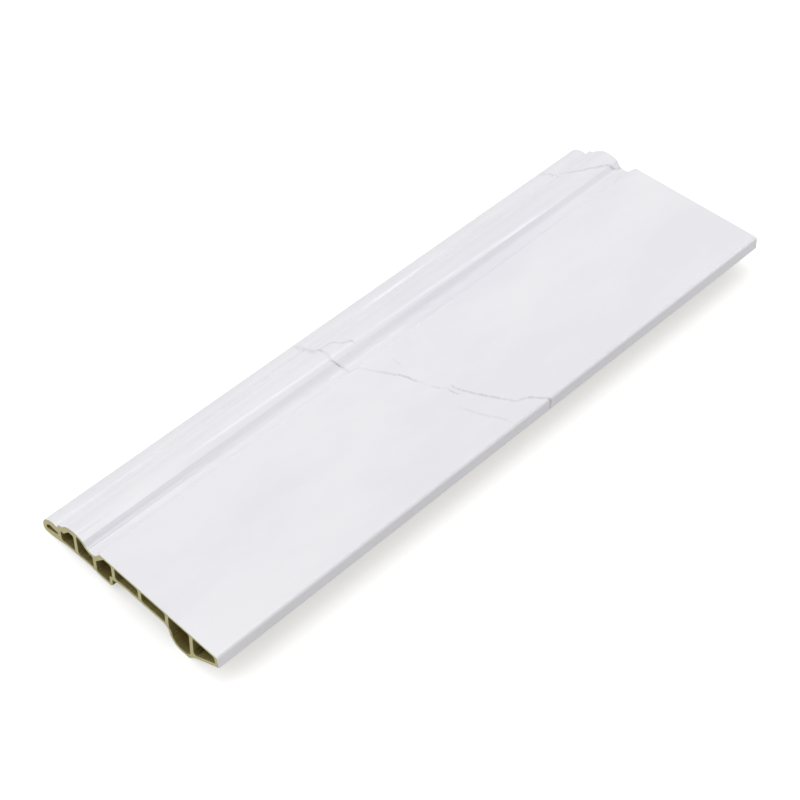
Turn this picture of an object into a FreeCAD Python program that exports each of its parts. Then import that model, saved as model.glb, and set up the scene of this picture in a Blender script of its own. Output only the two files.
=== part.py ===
"""Hollow skirting board with a decor film on its face, as a cut length that lies on its back.

Millimetres. X runs along the board, Y goes from the bottom edge up to the nose at the top edge,
and Z points from the wall side up to the face. The origin is the middle of the underside.
"""
import FreeCAD, Part
import math
import os

import Sketcher

DIMENSIONS = {
    # whole board
    "board_length": 277.0,
    "core_width": 99.4,
    "core_height": 16.7,
    "film_thickness": 0.3,
    "wall_thickness": 1.5,
    "flat_wall": 0.9,
    "web_thickness": 1.8,
    "web_drift": 2.4,
    "chamber_round": 0.9,
    # bottom edge and flat face
    "edge_height": 5.3,
    "arris_radius": 0.8,
    "moulding_width": 37.3,
    # step, cove and ovolo, going up from the flat face
    "peak_run": 0.5,
    "peak_fall": 0.3,
    "peak_radius": 0.6,
    "step_width": 3.2,
    "step_depth": 3.8,
    "cove_width": 5.3,
    "cove_radius": 4.6,
    "cove_depth": 3.4,
    "facet_width": 1.3,
    "facet_depth": 1.4,
    "ovolo_width": 12.8,
    "ovolo_radius": 10.3,
    "ovolo_depth": 4.3,
    # ledge, quirk and nose
    "ledge_fall": 0.4,
    "ledge_edge": 12.1,
    "quirk_edge": 10.1,
    "quirk_depth": 0.5,
    "nose_radius": 8.6,
    "nose_round": 1.0,
    # back, measured from the top edge
    "nose_pad": 3.9,
    "slope_edge": 14.2,
    "slope_height": 2.3,
    "hollow_edge": 28.2,
    "hollow_height": 3.0,
    "heel_edge": 33.6,
    "heel_height": 2.0,
    "toe_edge": 39.4,
    "lip_edge": 40.9,
    "lip_height": 3.4,
    "root_edge": 41.4,
    "root_height": 6.8,
    "bend_edge": 45.2,
    "bend_height": 8.1,
    # clip recess, whose roof slopes for a short way from the bend and is level from there
    "roof_slope": 5.0,
    "roof_height": 8.8,
    # end of the recess and lower foot, measured from the bottom edge
    "roof_end": 28.5,
    "shin_top": 7.4,
    "shin_edge": 27.1,
    "shin_foot": 4.0,
    "ankle_edge": 26.7,
    "ankle_height": 1.0,
    "sole_start": 24.9,
    "sole_edge": 22.3,
    "sole_end": 17.7,
    "instep_edge": 14.0,
    "instep_height": 3.4,
    # webs between the chambers, from the top edge or from the bottom edge
    "nose_web": 11.2,
    "ovolo_web": 21.1,
    "step_web": 31.8,
    "clip_web": 42.8,
    "recess_web": 27.4,
    "foot_web": 14.6,
    # pad that thickens the wall behind the step, from a little way below the flat's end
    "step_pad_run": 1.6,
    "step_pad_height": 8.7,
    # pad at the ovolo's upper end and under the ledge, from the top edge
    "ovolo_pad_edge": 18.3,
    "ovolo_pad_height": 13.3,
    "ledge_pad_edge": 14.0,
    "ledge_pad_height": 9.0,
    # slot in the nose, from the top edge
    "slot_end": 9.7,
    "slot_top": 5.9,
    "slot_floor": 4.7,
    "slot_bend": 4.9,
    "slot_crown": 6.3,
    "slot_start": 2.4,
    "slot_brow": 4.4,
    "slot_sill": 2.6,
    "slot_round": 0.5,
}

SHEET = "params"
AXIS_X = FreeCAD.Vector(1, 0, 0)
SECTION_PLANE = FreeCAD.Rotation(FreeCAD.Vector(1, 1, 1), 120)
SKETCH_ORIGIN = (-1, 1)
LEFT = 1
RIGHT = -1

doc = FreeCAD.newDocument("skirting_board")
params = doc.addObject("Spreadsheet::Sheet", SHEET)
for row, (name, value) in enumerate(DIMENSIONS.items(), start=1):
    params.set(f"A{row}", name)
    params.set(f"B{row}", str(value))
    params.setAlias(f"B{row}", name)
doc.recompute()


def read_term(term):
    """Sign, dimension and divisor of one term of a sum, such as core_width, -wall or wall/2."""
    name, _, divisor = term.lstrip("-").partition("/")
    return -1 if term[0] == "-" else 1, name, int(divisor or 1)


def amount(terms):
    """Number for a sum of dimensions, in which a minus sign takes away and a stroke divides."""
    return sum(sign * DIMENSIONS[name] / divisor for sign, name, divisor in map(read_term, terms.split()))


def formula(terms):
    """Spreadsheet expression for the same sum."""
    return " ".join(
        f"{'-' if sign < 0 else '+'} {SHEET}.{name} / {divisor}"
        for sign, name, divisor in map(read_term, terms.split())
    )


def corner(across, up):
    """Corner of the section, its Y from the bottom edge and its Z from the resting plane."""
    return across, up


def from_top(edge):
    """Y of something that is measured from the top edge."""
    return f"core_width -{edge}"


# The face runs from the nose down to the lower corner of the bottom edge.
flat_end = "core_width -moulding_width"
step_end = f"{flat_end} peak_run step_width"
cove_end = f"{step_end} cove_width"
ovolo_start = f"{cove_end} facet_width"
ovolo_end = f"{ovolo_start} ovolo_width"

FACE = [
    corner("core_width", "nose_round"),
    corner(from_top("nose_radius"), "nose_round nose_radius"),
    corner(from_top("quirk_edge"), "nose_round nose_radius -quirk_depth"),
    corner(from_top("ledge_edge"), "core_height -ovolo_depth -ledge_fall"),
    corner(ovolo_end, "core_height -ovolo_depth"),
    corner(ovolo_start, "core_height -facet_depth"),
    corner(cove_end, "core_height -cove_depth"),
    corner(step_end, "core_height -step_depth"),
    corner(f"{flat_end} peak_run", "core_height -peak_fall"),
    corner(flat_end, "core_height"),
    corner("arris_radius", "core_height"),
    corner("", "core_height -arris_radius"),
    corner("", "core_height -edge_height"),
]
BACK = [
    corner("instep_edge", "instep_height"),
    corner("sole_end", ""),
    corner("sole_edge", ""),
    corner("sole_start", "ankle_height"),
    corner("ankle_edge", "shin_foot"),
    corner("shin_edge", "shin_top"),
    corner("roof_end", "roof_height"),
    corner(from_top("bend_edge -roof_slope"), "roof_height"),
    corner(from_top("bend_edge"), "bend_height"),
    corner(from_top("root_edge"), "root_height"),
    corner(from_top("lip_edge"), "lip_height"),
    corner(from_top("toe_edge"), "heel_height"),
    corner(from_top("heel_edge"), "heel_height"),
    corner(from_top("hollow_edge"), "hollow_height"),
    corner(from_top("slope_edge"), "slope_height"),
    corner(from_top("nose_pad"), ""),
    corner(from_top("nose_round"), ""),
]
# Round stretches, by the number of the corner they start from: radius and side of the centre.
MOULDING_ARCS = {
    0: ("nose_radius", LEFT),
    4: ("ovolo_radius", LEFT),
    6: ("cove_radius", RIGHT),
}
FACE_ARCS = {
    **MOULDING_ARCS,
    8: ("peak_radius", LEFT),
    10: ("arris_radius", LEFT),
}
NOSE_ARC = ("nose_round", LEFT)

# The inside of the walls follows this line, which rises over the flat because the wall is thinner there.
over_flat = "core_height wall_thickness -flat_wall"
WALL_GUIDE = FACE[:8] + [corner(flat_end, over_flat), corner("", over_flat), FACE[-1]] + BACK

# Undersides of the two pads, which reach up to the wall.
STEP_PAD = [
    corner(f"{flat_end} -step_pad_run", "core_height -flat_wall"),
    corner(from_top("step_web"), "step_pad_height"),
]
LEDGE_PAD = [
    corner(f"{from_top('ovolo_web')} -web_drift/2", "ovolo_pad_height"),
    corner(from_top("ovolo_pad_edge"), "ovolo_pad_height"),
    corner(from_top("ledge_pad_edge"), "ledge_pad_height"),
    corner(from_top("nose_web"), "ledge_pad_height"),
]

# Slot along the inside of the nose.
SLOT = [
    corner(from_top("slot_end"), "slot_floor"),
    corner(from_top("slot_start"), "slot_sill"),
    corner(from_top("slot_start"), "slot_brow"),
    corner(from_top("slot_bend"), "slot_crown"),
    corner(from_top("slot_end"), "slot_top"),
]
# Middle of each web, halfway up.
WEBS = {
    "nose_divider": from_top("nose_web"),
    "ovolo_divider": from_top("ovolo_web"),
    "step_divider": from_top("step_web"),
    "clip_divider": from_top("clip_web"),
    "middle_divider": "core_width/2 -clip_web/2 recess_web/2",
    "recess_divider": "recess_web",
    "foot_divider": "foot_web",
}


def arc_between(start, end, radius, side):
    """Arc of this radius from start to end, with its centre on the given side of the way."""
    chord = end - start
    normal = FreeCAD.Vector(-chord.y, chord.x, 0).normalize() * side
    centre = (start + end) / 2 + normal * math.sqrt(radius**2 - (chord.Length / 2) ** 2)
    return Part.Arc(start, centre - normal * radius, end)


def pin(sketch, edge, end, across, up):
    """Hold one end of an edge at its place in the section, by sizes from the sheet."""
    for kind, terms in (("DistanceX", across), ("DistanceY", up)):
        rule = Sketcher.Constraint(kind, *SKETCH_ORIGIN, edge, end, amount(terms))
        number = sketch.addConstraint(rule)
        if terms:
            sketch.setExpression(f"Constraints[{number}]", formula(terms))


def draw(name, corners, arcs, closed):
    """Sketch of a chain of lines and arcs in the cross-section plane."""
    sketch = doc.addObject("Sketcher::SketchObject", name)
    sketch.Placement.Rotation = SECTION_PLANE
    sketch.setExpression("Placement.Base.x", f"-{SHEET}.board_length / 2")
    sketch.setExpression("Placement.Base.y", f"-{SHEET}.core_width / 2")
    points = [FreeCAD.Vector(amount(across), amount(up), 0) for across, up in corners]
    edges = len(corners) if closed else len(corners) - 1
    ends = []
    for edge in range(edges):
        start = points[edge]
        end = points[(edge + 1) % len(points)]
        if edge in arcs:
            radius, side = arcs[edge]
            sketch.addGeometry(arc_between(start, end, amount(radius), side))
            ends.append((1, 2) if side == LEFT else (2, 1))
        else:
            sketch.addGeometry(Part.LineSegment(start, end))
            ends.append((1, 2))
    for edge in range(edges):
        pin(sketch, edge, ends[edge][0], *corners[edge])
        following = (edge + 1) % edges
        if closed or following:
            joint = Sketcher.Constraint("Coincident", edge, ends[edge][1], following, ends[following][0])
            sketch.addConstraint(joint)
    if not closed:
        pin(sketch, edges - 1, ends[-1][1], *corners[-1])
    for edge, (radius, _) in arcs.items():
        number = sketch.addConstraint(Sketcher.Constraint("Radius", edge, amount(radius)))
        sketch.setExpression(f"Constraints[{number}]", formula(radius))
    return sketch


def offset(name, source, distance, mode, filled):
    """Outline moved square to itself, out for a skin or in for the far side of the walls."""
    moved = doc.addObject("Part::Offset2D", name)
    moved.Source = source
    moved.Mode = mode
    moved.Join = "Arc"
    moved.Fill = filled
    moved.setExpression("Value", distance)
    return moved


def extrude(name, section):
    """Solid along the whole board."""
    bar = doc.addObject("Part::Extrusion", name)
    bar.Base = section
    bar.DirMode = "Custom"
    bar.Dir = AXIS_X
    bar.Solid = True
    bar.setExpression("LengthFwd", f"{SHEET}.board_length")
    return bar


def web_corners(middle, upper):
    """Section of a leaning web, through the back and the face, from half a web below middle to upper."""
    return [
        corner(f"{middle} web_drift/2 -web_thickness/2", ""),
        corner(f"{upper} web_drift/2", ""),
        corner(f"{upper} -web_drift/2", "core_height"),
        corner(f"{middle} -web_drift/2 -web_thickness/2", "core_height"),
    ]


def pad_corners(underside):
    """Section of a pad that fills the board from its underside up to the height of the flat."""
    return underside + [corner(across, "core_height") for across, _ in (underside[-1], underside[0])]


def plate(name, outline):
    """Flat face inside an outline."""
    face = doc.addObject("Part::Face", name)
    face.Sources = [outline]
    return face


def ease(name, source, radius):
    """Flat faces with their corners rounded: drawn in by the radius, and let out again."""
    smaller = offset(f"{name}_drawn_in", source, f"-{SHEET}.{radius}", "Pipe", filled=False)
    return offset(name, smaller, f"{SHEET}.{radius}", "Pipe", filled=False)


def cut(name, base, tool):
    """First solid less the second."""
    rest = doc.addObject("Part::Cut", name)
    rest.Base = base
    rest.Tool = tool
    return rest


def make_hollow_board():
    """Extruded board: a wall all round, padded behind the mouldings, and webs between the chambers."""
    board_arcs = {**FACE_ARCS, len(FACE + BACK) - 1: NOSE_ARC}
    block = extrude("solid_section", draw("board_outline", FACE + BACK, board_arcs, closed=True))
    guide_arcs = {**MOULDING_ARCS, len(WALL_GUIDE) - 1: NOSE_ARC}
    guide = draw("wall_guide", WALL_GUIDE, guide_arcs, closed=True)
    inner_outline = offset("inner_outline", guide, f"-{SHEET}.wall_thickness", "Pipe", filled=False)
    inner = plate("inner_space", inner_outline)
    bands = {place: web_corners(middle, f"{middle} web_thickness/2") for place, middle in WEBS.items()}
    bands["solid_nose"] = web_corners(from_top("nose_web"), "core_width")
    bands["step_pad"] = pad_corners(STEP_PAD)
    bands["ledge_pad"] = pad_corners(LEDGE_PAD)
    dividers = doc.addObject("Part::MultiFuse", "dividers")
    dividers.Shapes = [
        plate(place, draw(f"{place}_outline", band, {}, closed=True)) for place, band in bands.items()
    ]
    rounded_chambers = ease("rounded_chambers", cut("sharp_chambers", inner, dividers), "chamber_round")
    chambers = extrude("chambers", rounded_chambers)
    sharp_slot = plate("sharp_slot", draw("slot_outline", SLOT, {}, closed=True))
    slot = extrude("nose_slot", ease("rounded_slot", sharp_slot, "slot_round"))
    board = cut("hollow_board", cut("chambered_section", block, chambers), slot)
    board.Label = "hollow_board"
    return board


def make_face_film():
    """Decor film round the nose, over the mouldings and the flat, and down the bottom edge."""
    path = draw("film_path", FACE, FACE_ARCS, closed=False)
    skin = offset("film_section", path, f"{SHEET}.film_thickness", "Skin", filled=True)
    film = extrude("face_film", skin)
    film.Label = "face_film"
    return film


subparts = [make_hollow_board(), make_face_film()]
doc.recompute()

for item in doc.Objects:
    if {"Invalid", "Error"} & set(item.State):
        raise RuntimeError(f"{item.Label} did not recompute: {item.State}")
os.makedirs("parts", exist_ok=True)
for subpart in subparts:
    shape = subpart.Shape
    if shape.isNull() or not shape.isValid() or len(shape.Solids) != 1:
        raise RuntimeError(f"{subpart.Label} is not one valid solid")
    shape.exportStep(f"parts/{subpart.Label}.step")
    box = shape.BoundBox
    sides = f"{box.XLength:.2f} x {box.YLength:.2f} x {box.ZLength:.2f} mm"
    print(subpart.Label, f"{shape.Volume:.0f} mm3", sides)
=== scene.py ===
# %% [markdown]
# # A skirting board with a marble film
#
# The real thing is a hollow board pushed out of a heated die in one long piece, and then wrapped in
# a printed plastic film. Somebody has sawn a short length off it. So there are two things to dress:
# the khaki composite, which only shows at the sawn ends, in the chambers and on the back, and the
# white film with its grey veins, which is what a room sees.
#
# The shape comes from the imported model, so this script starts by opening it. Lengths here are in
# metres, as Blender keeps them, and the constant MM turns millimetres into metres.

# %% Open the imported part
import math

import bmesh
import bpy
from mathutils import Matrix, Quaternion, Vector


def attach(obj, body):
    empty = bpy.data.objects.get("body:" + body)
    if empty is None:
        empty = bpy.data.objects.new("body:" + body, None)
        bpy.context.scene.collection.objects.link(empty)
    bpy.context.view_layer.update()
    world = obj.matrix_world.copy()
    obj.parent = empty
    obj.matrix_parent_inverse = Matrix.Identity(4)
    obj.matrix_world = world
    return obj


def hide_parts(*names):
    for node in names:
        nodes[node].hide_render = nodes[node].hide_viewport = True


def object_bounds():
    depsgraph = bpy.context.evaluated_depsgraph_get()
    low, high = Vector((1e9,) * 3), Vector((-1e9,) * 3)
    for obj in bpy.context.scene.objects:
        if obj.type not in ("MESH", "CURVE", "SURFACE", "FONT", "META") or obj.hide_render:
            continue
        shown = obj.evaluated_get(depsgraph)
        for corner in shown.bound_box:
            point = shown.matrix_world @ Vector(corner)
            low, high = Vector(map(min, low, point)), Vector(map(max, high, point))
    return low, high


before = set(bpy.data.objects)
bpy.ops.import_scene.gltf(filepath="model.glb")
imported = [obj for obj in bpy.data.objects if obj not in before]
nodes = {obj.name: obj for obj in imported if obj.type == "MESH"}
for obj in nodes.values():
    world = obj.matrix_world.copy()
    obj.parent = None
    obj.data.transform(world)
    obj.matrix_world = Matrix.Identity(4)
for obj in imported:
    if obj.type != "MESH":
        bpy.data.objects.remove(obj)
solid_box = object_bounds()
MM = 0.001
print("pieces in the packed part:", sorted(nodes))

# %% [markdown]
# ## The camera
#
# The board was photographed from above its cut end with a fairly long lens. The place of the camera
# was worked out from the board's own corners, so it is written down as facts that a person can
# picture: where the camera stands, the point on the face that it looks at, and how far it was
# tipped to one side. `to_track_quat` turns a direction into a rotation, and a second small turn
# about the line of sight adds the tip.

# %% Put the camera where the photographer stood
CAMERA_STANDS_AT = Vector((-0.32660, -0.37197, 0.51913))
CAMERA_LOOKS_AT = Vector((-0.01753, -0.01046, 0.01700))
CAMERA_TIP_DEGREES = -4.727
LENS_MM = 85.34
SENSOR_MM = 36.0
NEAREST_SEEN = 0.01

camera_data = bpy.data.cameras.new("camera")
camera_data.lens = LENS_MM
camera_data.sensor_width = SENSOR_MM
camera_data.clip_start = NEAREST_SEEN
camera = bpy.data.objects.new("camera", camera_data)
bpy.context.scene.collection.objects.link(camera)
line_of_sight = (CAMERA_LOOKS_AT - CAMERA_STANDS_AT).normalized()
tip = Quaternion((0.0, 0.0, 1.0), math.radians(CAMERA_TIP_DEGREES))
camera.rotation_mode = "QUATERNION"
camera.rotation_quaternion = line_of_sight.to_track_quat("-Z", "Y") @ tip
camera.location = CAMERA_STANDS_AT
bpy.context.scene.camera = camera
bpy.context.scene.view_settings.view_transform = "Standard"
print("camera to face:", round((CAMERA_LOOKS_AT - CAMERA_STANDS_AT).length, 3), "m")

# %% [markdown]
# ## Small helpers for materials
#
# A material is a little machine of nodes. Written out in full, each node takes three or four lines,
# which hides the idea. These helpers make one node per line: `new_node` adds a node with its
# settings, `feed` puts either a number or another node's result into a socket, `calculate` is one
# sum on a Math node, and `parts_of` takes a vector's coordinates apart.

# %% Helpers that add and feed nodes
def new_node(tree, kind, **settings):
    """Adds a node and sets its named settings."""
    made = tree.nodes.new(kind)
    for name, value in settings.items():
        setattr(made, name, value)
    return made


def feed(tree, value, socket):
    """Joins another node's result to a socket, or types a plain value into it."""
    if isinstance(value, bpy.types.NodeSocket):
        tree.links.new(value, socket)
    else:
        socket.default_value = value


def calculate(tree, operation, *values):
    """One sum on a Math node, such as ADD or MULTIPLY."""
    made = new_node(tree, "ShaderNodeMath", operation=operation)
    for socket, value in zip(made.inputs, values):
        feed(tree, value, socket)
    return made.outputs["Value"]


def parts_of(tree, vector):
    """The coordinates of a vector, by the names X, Y and Z."""
    made = new_node(tree, "ShaderNodeSeparateXYZ")
    tree.links.new(vector, made.inputs["Vector"])
    return made.outputs


def scale_range(tree, value, start, end, low, high, smooth=False):
    """Goes from low to high while value goes from start to end."""
    made = new_node(tree, "ShaderNodeMapRange")
    made.interpolation_type = "SMOOTHSTEP" if smooth else "LINEAR"
    sockets = ("Value", "From Min", "From Max", "To Min", "To Max")
    for name, number in zip(sockets, (value, start, end, low, high)):
        feed(tree, number, made.inputs[name])
    return made.outputs["Result"]


def mix_colours(tree, amount, first, second):
    """Mixes two colours: the second takes over as amount goes from 0 to 1."""
    made = new_node(tree, "ShaderNodeMix", data_type="RGBA")
    by_name = {socket.identifier: socket for socket in made.inputs}
    feed(tree, amount, by_name["Factor_Float"])
    feed(tree, first, by_name["A_Color"])
    feed(tree, second, by_name["B_Color"])
    return next(socket for socket in made.outputs if socket.identifier == "Result_Color")


print("node helpers ready")

# %% [markdown]
# ## Measuring on the board
#
# A pattern has to stay where it is on the board, and have its real size. Blender's Object
# coordinates give the place of each point in metres, and a Mapping node turns that into millimetres
# and may stretch it, so that a lump of noise becomes a long streak. Noise gives most of the life in
# both materials: its `size` here is about how wide one lump is, in millimetres.

# %% Places in millimetres, and noise
def board_place(tree, stretch=(1.0, 1.0, 1.0), turn_degrees=0.0):
    """The place on the board in millimetres, stretched, and turned about the upright."""
    place = new_node(tree, "ShaderNodeTexCoord")
    mapping = new_node(tree, "ShaderNodeMapping")
    mapping.inputs["Scale"].default_value = [factor / MM for factor in stretch]
    mapping.inputs["Rotation"].default_value = (0.0, 0.0, math.radians(turn_degrees))
    tree.links.new(place.outputs["Object"], mapping.inputs["Vector"])
    return mapping.outputs["Vector"]


def noise(tree, where, size, detail=3.0, roughness=0.5):
    """Cloudy noise from 0 to 1, whose lumps are about size millimetres across."""
    made = new_node(tree, "ShaderNodeTexNoise")
    tree.links.new(where, made.inputs["Vector"])
    made.inputs["Scale"].default_value = 1.0 / size
    made.inputs["Detail"].default_value = detail
    made.inputs["Roughness"].default_value = roughness
    return made.outputs["Fac"]


def bump(tree, height, depth, below=None):
    """Turns a height from 0 to 1 into relief that is depth millimetres deep."""
    made = new_node(tree, "ShaderNodeBump")
    made.inputs["Distance"].default_value = depth * MM
    tree.links.new(height, made.inputs["Height"])
    if below is not None:
        tree.links.new(below, made.inputs["Normal"])
    return made.outputs["Normal"]


print("noise and relief helpers ready")

# %% [markdown]
# ## How a vein is drawn
#
# Printed marble is mostly white, with a few thin grey veins that wander across it. Noise alone
# gives veins in places that nobody chose. Here each vein is laid out one by one instead, as a print
# designer would: a short list of points, each with how dark the vein is there. A Float Curve
# bends a straight line through those points, and the distance from that line is what makes the
# vein: dark on the line, fading out within its width. Noise pushes the line from side to side by
# a fraction of a millimetre and breaks it up, so that it looks like mineral and not like ink.

# %% Helpers that lay veins
FULL_WITHIN = 0.1
SMALLEST_REACH = 1e-6


def curve_through(tree, value, points):
    """A smooth curve through (place, number) points: a place goes in, a number comes out."""
    first, last = points[0][0], points[-1][0]
    lowest = min(number for place, number in points)
    highest = max(number for place, number in points)
    reach = max(highest - lowest, SMALLEST_REACH)
    made = new_node(tree, "ShaderNodeFloatCurve")
    line = made.mapping.curves[0]
    spots = [((place - first) / (last - first), (number - lowest) / reach)
             for place, number in points]
    line.points[0].location = spots[0]
    line.points[1].location = spots[-1]
    for spot in spots[1:-1]:
        line.points.new(*spot)
    made.mapping.update()
    feed(tree, scale_range(tree, value, first, last, 0.0, 1.0), made.inputs["Value"])
    return scale_range(tree, made.outputs["Value"], 0.0, 1.0, lowest, highest)


def vein(tree, where, wander, points, width):
    """Strength of one line through (along, across, strength) points, width millimetres wide."""
    start, end = Vector(points[0][:2]), Vector(points[-1][:2])
    heading = (end - start).normalized()
    sideways = Vector((-heading.y, heading.x))
    steps = [Vector(point[:2]) - start for point in points]
    course = [(step.dot(heading), step.dot(sideways)) for step in steps]
    strengths = [(step.dot(heading), point[2]) for step, point in zip(steps, points)]
    turned = new_node(tree, "ShaderNodeMapping")
    turned.inputs["Rotation"].default_value = (0.0, 0.0, -math.atan2(heading.y, heading.x))
    turned.inputs["Location"].default_value = (-start.dot(heading), -start.dot(sideways), 0.0)
    tree.links.new(where, turned.inputs["Vector"])
    place = parts_of(tree, turned.outputs["Vector"])
    along = place["X"]
    across = calculate(tree, "ADD", place["Y"], wander)
    off_course = calculate(tree, "SUBTRACT", across, curve_through(tree, along, course))
    gap = calculate(tree, "ABSOLUTE", off_course)
    line = scale_range(tree, gap, FULL_WITHIN * width, width, 1.0, 0.0, smooth=True)
    begun = calculate(tree, "GREATER_THAN", along, course[0][0])
    not_over = calculate(tree, "LESS_THAN", along, course[-1][0])
    inside = calculate(tree, "MULTIPLY", begun, not_over)
    strength = calculate(tree, "MULTIPLY", curve_through(tree, along, strengths), inside)
    return calculate(tree, "MULTIPLY", line, strength)


def all_lines(tree, where, wander, lines):
    """The strongest of a table of lines at each point."""
    strongest = 0.0
    for width, points in lines.values():
        line = vein(tree, where, wander, points, width)
        strongest = calculate(tree, "MAXIMUM", line, strongest)
    return strongest


print("vein helpers ready")

# %% [markdown]
# ## Where the veins run
#
# One main vein crosses the whole board, from the rounded top edge, down over the moulding and
# across the flat to the bottom edge, where it ends in a dark spot. It throws off a few branches,
# and a second group starts at the far end. Each point is (along, across, darkness), with along and
# across in millimetres from the middle of the board.
#
# The same helper lays two hair-thin raised lines in the hollow below the moulding. They start at
# the sawn end and run out after a hand's width. They stand in for two thin light lines that the
# photograph shows there. Whether the real lines are relief or reflections can't be told from it.

# %% The veins, point by point
VEINS = {
    "over the top moulding": (1.1, [
        (-20.4, 47.0, 0.12), (-20.6, 43.9, 0.22), (-20.8, 41.2, 0.22), (-19.4, 38.4, 0.15),
        (-21.0, 35.0, 0.22), (-21.2, 33.7, 0.34), (-19.9, 31.6, 0.40), (-19.6, 29.0, 0.24),
        (-19.5, 27.4, 0.16), (-19.9, 25.2, 0.20), (-20.2, 23.0, 0.12), (-19.2, 22.0, 0.10),
        (-18.4, 20.9, 0.10), (-18.0, 19.9, 0.12), (-18.1, 17.8, 0.20), (-16.8, 12.8, 0.16),
        (-15.3, 10.4, 0.12)]),
    "down the step": (0.5, [
        (-20.4, 23.8, 0.10), (-19.3, 21.9, 0.70), (-18.1, 20.1, 0.60), (-17.8, 19.5, 0.10)]),
    "crest blotch": (1.6, [
        (-19.7, 44.0, 0.06), (-19.9, 40.5, 0.24), (-20.4, 36.1, 0.28), (-21.2, 33.6, 0.28),
        (-22.0, 31.0, 0.05)]),
    "crest branch": (0.9, [
        (-19.9, 31.7, 0.35), (-16.0, 30.9, 0.28), (-13.7, 30.0, 0.26), (-12.0, 27.3, 0.26),
        (-9.2, 26.0, 0.30), (-8.3, 25.1, 0.50), (-8.2, 23.9, 0.40)]),
    "across the flat": (0.9, [
        (-15.3, 10.4, 0.10), (-13.0, 6.0, 0.16), (-10.5, 1.4, 0.28), (-8.5, -2.1, 0.38),
        (-7.6, -4.4, 0.38), (-7.1, -6.5, 0.34), (-6.3, -8.9, 0.16), (-5.2, -12.5, 0.04),
        (-3.9, -15.7, 0.20), (-2.4, -17.6, 0.08), (-1.1, -19.3, 0.22)]),
    "to the bottom edge": (0.9, [
        (0.2, -18.6, 0.08), (0.6, -20.7, 0.34), (1.0, -22.9, 0.34), (1.9, -25.1, 0.36),
        (3.4, -28.2, 0.40), (5.8, -32.5, 0.40), (7.5, -35.4, 0.36), (8.4, -37.6, 0.30),
        (10.3, -40.7, 0.26), (12.4, -42.2, 0.24), (15.5, -44.3, 0.36), (18.5, -47.5, 0.44),
        (19.7, -49.0, 0.50), (20.4, -50.6, 0.55)]),
    "short twin": (0.8, [
        (-1.5, -19.8, 0.20), (-1.3, -22.6, 0.30), (-0.7, -24.4, 0.12)]),
    "faint lower vein": (0.8, [
        (-5.9, -28.4, 0.03), (-5.0, -30.4, 0.12), (-4.0, -33.0, 0.15), (-3.3, -34.8, 0.16),
        (-1.1, -39.7, 0.15), (1.0, -43.7, 0.16), (2.1, -47.1, 0.10), (2.3, -50.6, 0.04)]),
    "fleck": (0.7, [
        (-4.2, 7.2, 0.02), (-4.6, 5.6, 0.12), (-5.6, 1.0, 0.02)]),
    "step fleck": (0.8, [
        (-13.6, 23.4, 0.02), (-13.3, 22.2, 0.08), (-13.1, 21.0, 0.02)]),
    "far end, edge": (0.9, [
        (116.6, 46.4, 0.12), (117.2, 43.6, 0.26), (118.7, 40.7, 0.28), (117.4, 37.4, 0.20),
        (116.8, 35.6, 0.06)]),
    "far end, crest": (0.9, [
        (119.4, 37.6, 0.06), (119.7, 35.8, 0.22), (119.5, 31.4, 0.30), (122.5, 28.7, 0.36),
        (126.1, 26.5, 0.30), (130.1, 24.6, 0.30), (133.9, 22.6, 0.40), (135.3, 21.2, 0.50),
        (137.9, 20.4, 0.45), (139.4, 19.8, 0.30)]),
}
RAISED_LINES = {
    "upper": (0.45, [
        (-139.5, 21.93, 1.00), (-105.0, 21.93, 1.00), (-88.0, 21.93, 0.30), (-72.0, 21.93, 0.0)]),
    "lower": (0.45, [
        (-139.5, 20.70, 1.00), (-96.0, 20.70, 1.00), (-76.0, 20.90, 0.45), (-50.0, 21.10, 0.0)]),
}
print(len(VEINS), "veins and", len(RAISED_LINES), "raised lines laid by hand")

# %% [markdown]
# ## The marble film
#
# The film is a white plastic skin with a satin gloss. Three things make it more than a flat white:
# the veins, a very faint cloudiness in the white, and the skin itself, which has fine lines along
# its length from being pressed on by rollers and a slight unevenness in its gloss. A film is thin
# and its print lies under a clear layer, so a little clear coat sits on top of the satin.
#
# Two choices about the shine are made for the picture's sake. A clear layer mirrors most where it
# is seen along its surface, and here it would mirror its surroundings as thin lines that the
# photograph doesn't have. So the shine fades out at glancing angles, which Layer Weight measures,
# and it is left off the short risers that look toward the top edge, except on the rounded edge.

# %% The film's colour: white, clouds and veins
FILM_WHITE = (0.855, 0.848, 0.880, 1.0)
FILM_CLOUD = (0.808, 0.805, 0.846, 1.0)
VEIN_GREY = (0.330, 0.325, 0.350, 1.0)
WIDE_WANDER_MM = 0.6
FINE_WANDER_MM = 0.3
LEAST_OF_A_VEIN = 0.35

film = bpy.data.materials.new("marble_film")
film.use_nodes = True
tree = film.node_tree
skin = tree.nodes["Principled BSDF"]

flat_place = board_place(tree)
wide_noise = noise(tree, flat_place, size=3.2, detail=3.0)
fine_noise = noise(tree, flat_place, size=0.7, detail=2.0)
wander = calculate(tree, "ADD",
                   scale_range(tree, wide_noise, 0.0, 1.0, -WIDE_WANDER_MM, WIDE_WANDER_MM),
                   scale_range(tree, fine_noise, 0.0, 1.0, -FINE_WANDER_MM, FINE_WANDER_MM))
gaps_noise = noise(tree, flat_place, size=1.4, detail=4.0)
broken = scale_range(tree, gaps_noise, 0.30, 0.62, LEAST_OF_A_VEIN, 1.0, smooth=True)
veining = calculate(tree, "MULTIPLY", all_lines(tree, flat_place, wander, VEINS), broken)

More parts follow.
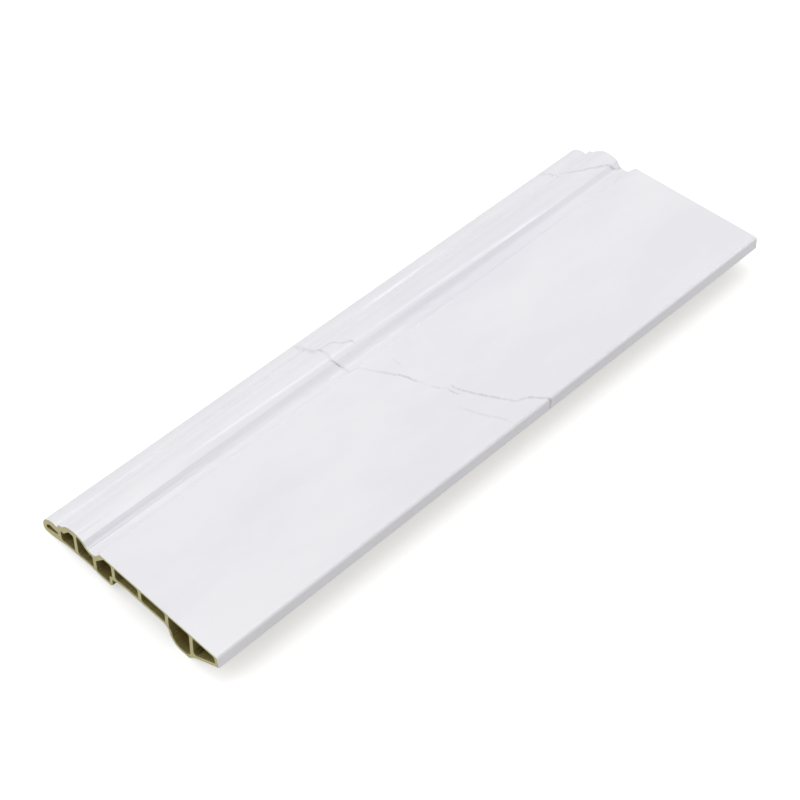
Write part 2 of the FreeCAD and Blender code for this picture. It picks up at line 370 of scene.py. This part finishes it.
cloud_place = board_place(tree, stretch=(0.45, 1.0, 1.0), turn_degrees=35.0)
clouds = noise(tree, cloud_place, size=34.0, detail=5.0, roughness=0.6)
cloudiness = scale_range(tree, clouds, 0.35, 0.70, 0.0, 1.0, smooth=True)
white = mix_colours(tree, cloudiness, FILM_WHITE, FILM_CLOUD)
feed(tree, mix_colours(tree, veining, white, VEIN_GREY), skin.inputs["Base Color"])
print("film colour uses", len(tree.nodes), "nodes")

# %% The film's relief: roller lines, pimples and two raised lines
ROLLER_LINE_DEPTH_MM = 0.004
PIMPLE_DEPTH_MM = 0.0015
RAISED_LINE_DEPTH_MM = 0.12
LONG_STREAKS = (0.01, 1.0, 1.0)

roller_lines = noise(tree, board_place(tree, LONG_STREAKS), size=0.9, detail=3.0)
pimples = noise(tree, flat_place, size=0.8, detail=2.0)
raised = all_lines(tree, flat_place, 0.0, RAISED_LINES)
relief = bump(tree, roller_lines, ROLLER_LINE_DEPTH_MM)
relief = bump(tree, pimples, PIMPLE_DEPTH_MM, relief)
relief = bump(tree, raised, RAISED_LINE_DEPTH_MM, relief)
feed(tree, relief, skin.inputs["Normal"])
feed(tree, relief, skin.inputs["Coat Normal"])
print("film relief in place")

# %% The film's shine
FILM_SMOOTHEST, FILM_ROUGHEST = 0.15, 0.20
DULL_FROM, DULL_FULL = 0.40, 0.85
RISER_FROM, RISER_FULL = 0.25, 0.50
NOSE_FROM_MM, NOSE_FULL_MM = 36.0, 39.0
COAT_WEIGHT = 0.60
COAT_ROUGHNESS = 0.07
SPECULAR_LEVEL = 0.50
FILM_IOR = 1.46

gloss = noise(tree, flat_place, size=9.0, detail=4.0)
uneven_gloss = scale_range(tree, gloss, 0.3, 0.7, FILM_SMOOTHEST, FILM_ROUGHEST)
feed(tree, uneven_gloss, skin.inputs["Roughness"])
glancing = new_node(tree, "ShaderNodeLayerWeight").outputs["Facing"]
film_normal = new_node(tree, "ShaderNodeNewGeometry").outputs["Normal"]
toward_top_edge = parts_of(tree, film_normal)["Y"]
across_board = parts_of(tree, flat_place)["Y"]
off_risers = scale_range(tree, toward_top_edge, RISER_FROM, RISER_FULL, 1.0, 0.0, smooth=True)
on_nose = scale_range(tree, across_board, NOSE_FROM_MM, NOSE_FULL_MM, 0.0, 1.0, smooth=True)
shine = calculate(tree, "MULTIPLY", calculate(tree, "MAXIMUM", off_risers, on_nose),
                  scale_range(tree, glancing, DULL_FROM, DULL_FULL, 1.0, 0.0))
feed(tree, calculate(tree, "MULTIPLY", shine, COAT_WEIGHT), skin.inputs["Coat Weight"])
feed(tree, calculate(tree, "MULTIPLY", shine, SPECULAR_LEVEL), skin.inputs["Specular IOR Level"])
feed(tree, COAT_ROUGHNESS, skin.inputs["Coat Roughness"])
feed(tree, FILM_IOR, skin.inputs["IOR"])
print("film nodes:", len(tree.nodes))

# %% [markdown]
# ## The khaki composite
#
# The core is plastic filled with ground bamboo or wood, pressed out hot. Its colour is a dull
# yellow-green, uneven at the scale of the fibres, with dark and light specks. Along the board the
# die leaves fine straight drag lines. The sawn ends are paler and rougher, with the marks of the
# saw teeth across them. The pressed faces, which show mostly as the walls inside the chambers, are
# painted much darker than the ends: partly the skin's own colour, partly painted shade for the
# chambers. The shader can tell an end from a side by the direction that the surface faces, which
# the Geometry node gives as its normal. The last few millimetres before a cut are a little paler
# too, as if the saw had torn the skin there.

# %% Tell what was sawn from what was pressed
SAWN_FROM, SAWN_FULL = 0.60, 0.95
HALF_LENGTH_MM = solid_box[1][0] / MM
TORN_MM = 3.0
TORN_UNEVENNESS_MM = 1.2
TORN_PALENESS = 0.20

composite = bpy.data.materials.new("khaki_composite")
composite.use_nodes = True
tree = composite.node_tree
core = tree.nodes["Principled BSDF"]

core_place = board_place(tree)
core_normal = new_node(tree, "ShaderNodeNewGeometry").outputs["Normal"]
endwise = calculate(tree, "ABSOLUTE", parts_of(tree, core_normal)["X"])
cut_face = scale_range(tree, endwise, SAWN_FROM, SAWN_FULL, 0.0, 1.0, smooth=True)
from_middle = calculate(tree, "ABSOLUTE", parts_of(tree, core_place)["X"])
tearing = noise(tree, core_place, size=1.1)
unevenness = scale_range(tree, tearing, 0.0, 1.0, -TORN_UNEVENNESS_MM, TORN_UNEVENNESS_MM)
ragged = calculate(tree, "ADD", from_middle, unevenness)
torn_from_mm = HALF_LENGTH_MM - TORN_MM
torn_edge = scale_range(tree, ragged, torn_from_mm, HALF_LENGTH_MM, 0.0, TORN_PALENESS)
sawn = calculate(tree, "MAXIMUM", cut_face, torn_edge)
print("board is sawn", round(HALF_LENGTH_MM, 1), "mm from its middle")

# %% The composite's colour
# The two pressed colours are much darker than the sawn ones: partly the skin's own colour, partly
# painted shade for the walls inside the chambers.
COMPOSITE_DEEP_AND_SHADE = (0.110, 0.080, 0.012, 1.0)
COMPOSITE_MID_AND_SHADE = (0.245, 0.192, 0.032, 1.0)
COMPOSITE_SAWN = (0.620, 0.580, 0.305, 1.0)
SAWN_SHADE = (0.440, 0.395, 0.170, 1.0)
FIBRE_DARK = (0.140, 0.110, 0.035, 1.0)
FIBRE_PALE = (0.760, 0.720, 0.500, 1.0)

long_place = board_place(tree, stretch=(0.12, 1.0, 1.0))
long_noise = noise(tree, long_place, size=2.2, detail=5.0, roughness=0.6)
mottle = scale_range(tree, long_noise, 0.3, 0.7, 0.0, 1.0)
# The pressed faces, mostly the walls inside the chambers, take this darker colour, partly as
# painted shade.
pressed_and_shaded = mix_colours(tree, mottle, COMPOSITE_DEEP_AND_SHADE, COMPOSITE_MID_AND_SHADE)
sawn_noise = noise(tree, core_place, size=0.9, detail=4.0)
sawn_mottle = scale_range(tree, sawn_noise, 0.35, 0.75, 0.0, 0.6)
sawn_colour = mix_colours(tree, sawn_mottle, COMPOSITE_SAWN, SAWN_SHADE)
ground = mix_colours(tree, sawn, pressed_and_shaded, sawn_colour)
specks = noise(tree, long_place, size=0.35, detail=1.0)
dark_specks = scale_range(tree, specks, 0.66, 0.74, 0.0, 0.6, smooth=True)
pale_specks = scale_range(tree, specks, 0.34, 0.26, 0.0, 0.45, smooth=True)
speckled = mix_colours(tree, dark_specks, ground, FIBRE_DARK)
speckled = mix_colours(tree, pale_specks, speckled, FIBRE_PALE)
feed(tree, speckled, core.inputs["Base Color"])
print("composite colour in place")

# %% The composite's relief and sheen
GRAIN_DEPTH_MM = 0.03
DRAG_LINE_DEPTH_MM = 0.05
SAW_MARK_DEPTH_MM = 0.10
SAW_STREAKS = (1.0, 0.12, 1.6)
CORE_SMOOTHEST, CORE_ROUGHEST = 0.52, 0.70
CORE_IOR = 1.50

grain = noise(tree, core_place, size=0.25, detail=4.0)
drag_lines = noise(tree, board_place(tree, LONG_STREAKS), size=0.5, detail=3.0)
saw_lines = noise(tree, board_place(tree, SAW_STREAKS), size=0.35, detail=3.0)
saw_marks = calculate(tree, "MULTIPLY", saw_lines, sawn)
relief = bump(tree, grain, GRAIN_DEPTH_MM)
relief = bump(tree, drag_lines, DRAG_LINE_DEPTH_MM, relief)
relief = bump(tree, saw_marks, SAW_MARK_DEPTH_MM, relief)
feed(tree, relief, core.inputs["Normal"])
uneven_sheen = scale_range(tree, mottle, 0.0, 1.0, CORE_SMOOTHEST, CORE_ROUGHEST)
feed(tree, uneven_sheen, core.inputs["Roughness"])
feed(tree, CORE_IOR, core.inputs["IOR"])
print("composite nodes:", len(tree.nodes))

# %% [markdown]
# ## Soften the arrises and dress the pieces
#
# On the real board nothing is knife-sharp. The film can't fold tighter than about its own
# thickness, and the saw leaves a slightly worn edge. So each piece is a copy of its solid with the
# triangles merged back into whole faces, and a Bevel modifier rounds its edges. The modifier reads
# how much from a weight on each edge. Where a round moulding was cut into narrow strips, each edge
# between two strips is rounded by almost half a strip, which brings the true curve back and lets it
# catch the light in one smooth line. A real arris is only worn by about a tenth of a millimetre.

# %% Decide how round each edge is
MERGE_WITHIN = 0.001 * MM
FLAT_WITHIN_DEGREES = 0.4
ARRIS_FROM_DEGREES = 24.0
NARROW_STRIP = 0.9 * MM
WIDEST_ROUNDING = 1.0 * MM
SHARE_OF_STRIP = 0.42
LENGTHWISE_SHARE = 0.9
ROUNDING_SEGMENTS = 3
EVEN_SHADING_WEIGHT = 90


def roundness(edge, arris_wear, end_wear):
    """How far from this edge its rounding starts, in metres."""
    along = abs(edge.verts[1].co.x - edge.verts[0].co.x)
    if along < LENGTHWISE_SHARE * edge.calc_length():
        return end_wear
    strip = min(face.calc_area() / edge.calc_length() for face in edge.link_faces)
    arris = edge.calc_face_angle() > math.radians(ARRIS_FROM_DEGREES) and strip > NARROW_STRIP
    return arris_wear if arris else min(SHARE_OF_STRIP * strip, WIDEST_ROUNDING)


def softened_copy(name, node, arris_wear, end_wear, material):
    """A copy of a solid with its edges rounded off, dressed in its material."""
    shape = bmesh.new()
    shape.from_mesh(node.data)
    bmesh.ops.remove_doubles(shape, verts=shape.verts, dist=MERGE_WITHIN)
    bmesh.ops.dissolve_limit(shape, angle_limit=math.radians(FLAT_WITHIN_DEGREES),
                             verts=shape.verts, edges=shape.edges)
    weight = shape.edges.layers.float.new("bevel_weight_edge")
    for edge in shape.edges:
        if edge.is_manifold and edge.calc_face_angle() > math.radians(FLAT_WITHIN_DEGREES):
            edge[weight] = roundness(edge, arris_wear, end_wear) / WIDEST_ROUNDING
    mesh = bpy.data.meshes.new(name)
    shape.to_mesh(mesh)
    shape.free()
    mesh.shade_smooth()
    mesh.materials.append(material)
    piece = bpy.data.objects.new(name, mesh)
    bpy.context.scene.collection.objects.link(piece)
    rounding = piece.modifiers.new("rounding", "BEVEL")
    rounding.limit_method = "WEIGHT"
    rounding.width = WIDEST_ROUNDING
    rounding.segments = ROUNDING_SEGMENTS
    shading = piece.modifiers.new("even_shading", "WEIGHTED_NORMAL")
    shading.weight = EVEN_SHADING_WEIGHT
    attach(piece, "root")
    print(name, "has", len(mesh.polygons), "faces before rounding")
    return piece


print("narrow strips are under", NARROW_STRIP / MM, "mm wide")

# %% Dress the film and the core
FILM_ARRIS_WEAR, FILM_END_WEAR = 0.10 * MM, 0.04 * MM
CORE_ARRIS_WEAR, CORE_END_WEAR = 0.12 * MM, 0.06 * MM

film_piece = softened_copy("marble_film", nodes["face_film"],
                           FILM_ARRIS_WEAR, FILM_END_WEAR, film)
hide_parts("face_film")
core_piece = softened_copy("composite_board", nodes["hollow_board"],
                           CORE_ARRIS_WEAR, CORE_END_WEAR, composite)
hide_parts("hollow_board")

# %% [markdown]
# ## The floor
#
# The board lies on a plain white floor that runs out of the picture, and in the photograph that
# floor is pure white. More light would only bleach the board, so the floor itself is made brighter
# for the camera, and a fifth as much for reflections: Light Path says what kind of ray has met it.

# %% The floor
FLOOR_HALF = 4.0
FLOOR_BELOW = 0.0001
FLOOR_SEEN = (0.80, 0.80, 0.80, 1.0)
FLOOR_BOUNCE = (0.62, 0.62, 0.62, 1.0)
FLOOR_LIFT = 0.50
SHARE_IN_GLOSS = 0.2

floor_shape = bmesh.new()
bmesh.ops.create_grid(floor_shape, x_segments=1, y_segments=1, size=FLOOR_HALF)
bmesh.ops.translate(floor_shape, verts=floor_shape.verts, vec=(0.0, 0.0, -FLOOR_BELOW))
floor_mesh = bpy.data.meshes.new("floor")
floor_shape.to_mesh(floor_mesh)
floor_shape.free()
floor = bpy.data.objects.new("floor", floor_mesh)
bpy.context.scene.collection.objects.link(floor)

paper = bpy.data.materials.new("white_floor")
paper.use_nodes = True
tree = paper.node_tree
tree.nodes.remove(tree.nodes["Principled BSDF"])
path = new_node(tree, "ShaderNodeLightPath")
in_gloss = calculate(tree, "MULTIPLY", path.outputs["Is Glossy Ray"], SHARE_IN_GLOSS)
looked_at = calculate(tree, "MAXIMUM", path.outputs["Is Camera Ray"], in_gloss)
matt = new_node(tree, "ShaderNodeBsdfDiffuse")
feed(tree, mix_colours(tree, looked_at, FLOOR_BOUNCE, FLOOR_SEEN), matt.inputs["Color"])
glow = new_node(tree, "ShaderNodeEmission")
feed(tree, calculate(tree, "MULTIPLY", looked_at, FLOOR_LIFT), glow.inputs["Strength"])
both = new_node(tree, "ShaderNodeAddShader")
tree.links.new(matt.outputs["BSDF"], both.inputs[0])
tree.links.new(glow.outputs["Emission"], both.inputs[1])
tree.links.new(both.outputs["Shader"], tree.nodes["Material Output"].inputs["Surface"])
floor_mesh.materials.append(paper)
print("floor is", 2 * FLOOR_HALF, "m square")

# %% [markdown]
# ## Sky and lamps
#
# An even sky gives most of the light. Five soft lamps shape it: a wide ceiling panel on the far
# right, whose mirror image ends along the crest of the moulding, a narrow strip at that panel's
# edge, which draws the thin bright line there, one lamp overhead, one low on the right for the
# bottom edge and one low on the left for the rounded top edge and the sawn end.

# %% The sky
SKY_LIGHT = 0.61
SKY_SEEN = 1.0

world = bpy.data.worlds.new("even_sky")
world.use_nodes = True
bpy.context.scene.world = world
tree = world.node_tree
path = new_node(tree, "ShaderNodeLightPath")
sky = tree.nodes["Background"]
feed(tree, (1.0, 1.0, 1.0, 1.0), sky.inputs["Color"])
brightness = scale_range(tree, path.outputs["Is Camera Ray"], 0.0, 1.0, SKY_LIGHT, SKY_SEEN)
feed(tree, brightness, sky.inputs["Strength"])
print("the sky lights the board with a strength of", SKY_LIGHT)

# %% The five lamps: where each stands, what it looks at, its size, watts and turn in degrees
MIDDLE = (0.0, 0.0, 0.0)
LAMPS = {
    "ceiling_panel": ((0.976, 0.566, 1.00), (0.976, 0.566, 0.0), (2.0, 1.20), 1.3, -50.9),
    "panel_edge": ((0.487, 0.171, 0.99), (0.487, 0.171, 0.0), (1.7, 0.05), 1.1, -50.9),
    "top_lamp": ((0.0, 0.0, 1.10), MIDDLE, (0.6, 0.60), 1.7, 0.0),
    "edge_lamp": ((0.836, -0.715, 0.60), MIDDLE, (1.1, 1.10), 2.1, 0.0),
    "end_lamp": ((-0.836, 0.715, 0.80), MIDDLE, (1.6, 1.60), 5.4, 0.0),
}


def soft_lamp(name, stands_at, looks_at, size, watts, turn_degrees):
    """A rectangular soft lamp that faces the point it looks at, turned about that direction."""
    data = bpy.data.lights.new(name, "AREA")
    data.shape = "RECTANGLE"
    data.size, data.size_y = size
    data.energy = watts
    lamp = bpy.data.objects.new(name, data)
    lamp.location = stands_at
    lamp.rotation_mode = "QUATERNION"
    aim = (Vector(looks_at) - Vector(stands_at)).to_track_quat("-Z", "Y")
    lamp.rotation_quaternion = aim @ Quaternion((0.0, 0.0, 1.0), math.radians(turn_degrees))
    bpy.context.scene.collection.objects.link(lamp)


for lamp_name, lamp_values in LAMPS.items():
    soft_lamp(lamp_name, *lamp_values)
print("lamps:", list(LAMPS))
